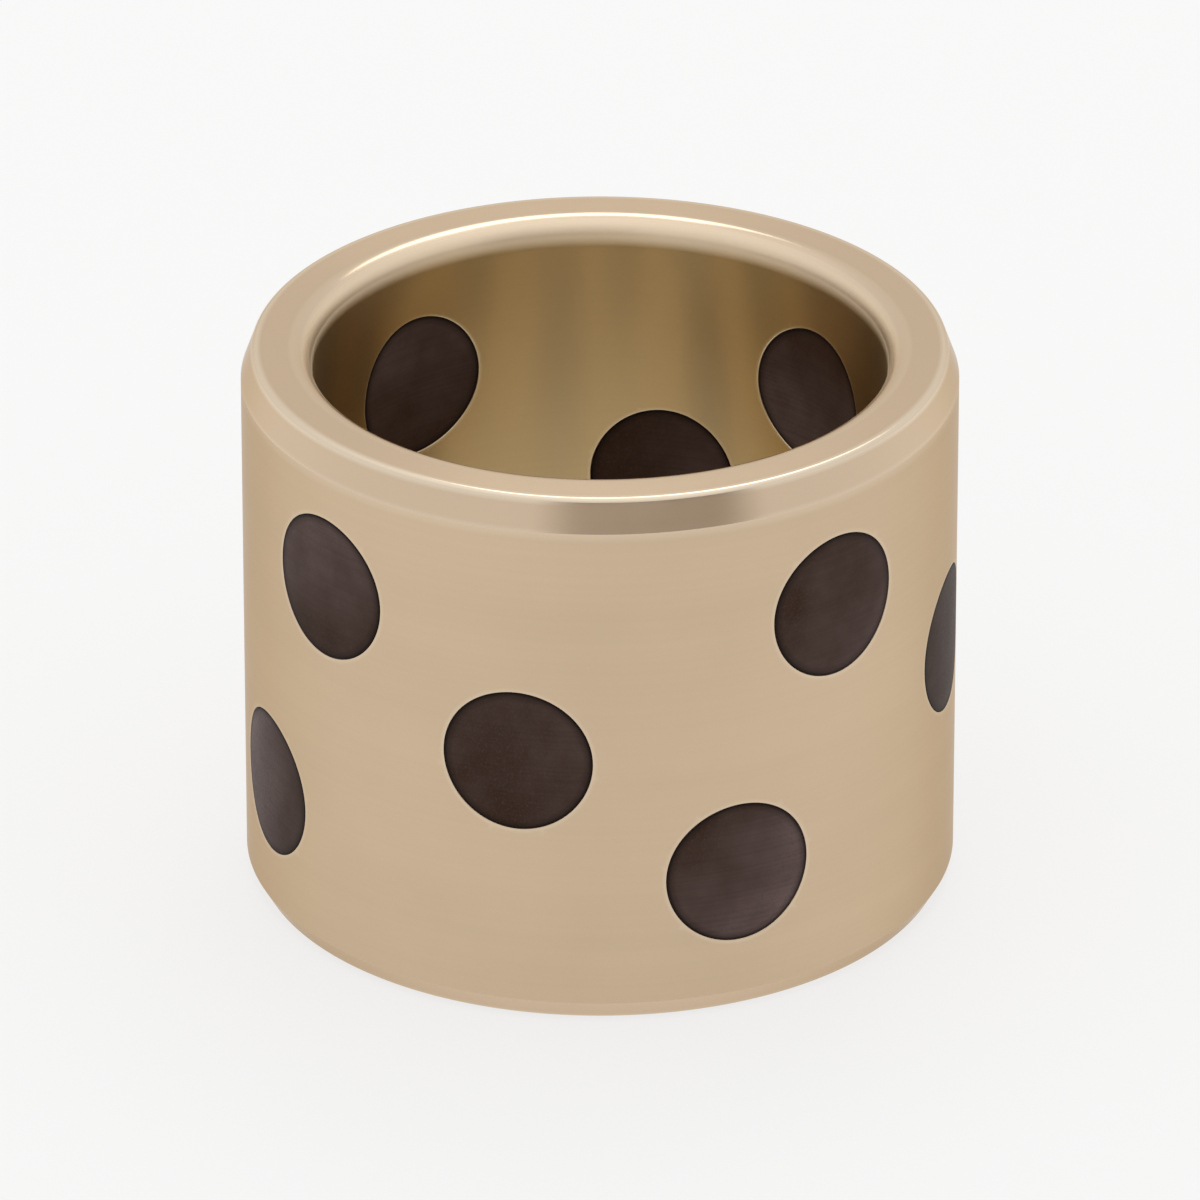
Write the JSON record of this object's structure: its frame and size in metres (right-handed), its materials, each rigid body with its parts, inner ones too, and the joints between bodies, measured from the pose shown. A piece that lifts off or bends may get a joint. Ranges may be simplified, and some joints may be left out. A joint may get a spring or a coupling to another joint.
{
  "type": "graphite plugged bushing",
  "caption": "Plain cylindrical bronze bushing with staggered round graphite plugs set flush through its wall, a rounded bore mouth and a long lead-in chamfer at one end.",
  "frame": {"origin": "centre of the lower end face, the end without the long lead-in chamfer", "axes": "+Z along the bore axis towards the lead-in end; +X through the middle of the first plug of the top row"},
  "size_m": [0.05, 0.05, 0.04],
  "materials": {
    "bronze": "fine turned, satin",
    "graphite": "matt, fine grained"
  },
  "bodies": {
    "root": {"bronze_sleeve": "bronze", "graphite_plug_top_1": "graphite", "graphite_plug_top_2": "graphite", "graphite_plug_top_3": "graphite", "graphite_plug_top_4": "graphite", "graphite_plug_middle_1": "graphite", "graphite_plug_middle_2": "graphite", "graphite_plug_middle_3": "graphite", "graphite_plug_middle_4": "graphite", "graphite_plug_base_1": "graphite", "graphite_plug_base_2": "graphite", "graphite_plug_base_3": "graphite", "graphite_plug_base_4": "graphite"}
  },
  "joints": []
}
